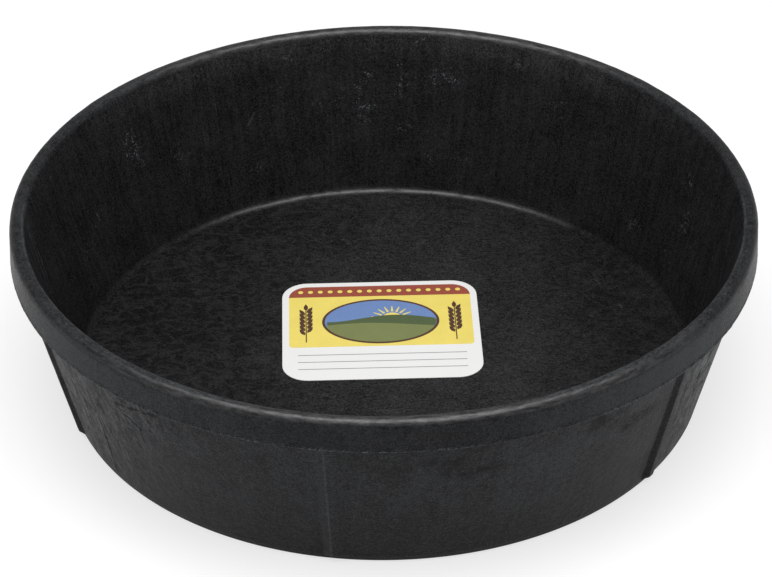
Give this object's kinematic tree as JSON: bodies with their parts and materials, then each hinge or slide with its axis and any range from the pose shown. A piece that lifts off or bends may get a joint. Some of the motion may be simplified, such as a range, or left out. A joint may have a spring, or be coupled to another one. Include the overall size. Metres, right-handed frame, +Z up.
{
  "type": "feed tub",
  "caption": "Low round rubber feed tub with a sloping ribbed wall, a thick rounded rim band, a flat floor and a paper label stuck inside, for feeding or watering livestock.",
  "frame": {"origin": "centre of the flat base, on the ground", "axes": "+Z up along the tub's axis, -Y towards the pictured front, +X to its right"},
  "size_m": [0.4198, 0.4198, 0.111],
  "materials": {
    "tub": "matt black moulded rubber with a faint sheen on worn edges",
    "label": "satin printed paper"
  },
  "bodies": {
    "root": {"tub": "tub", "label": "label"}
  },
  "joints": []
}
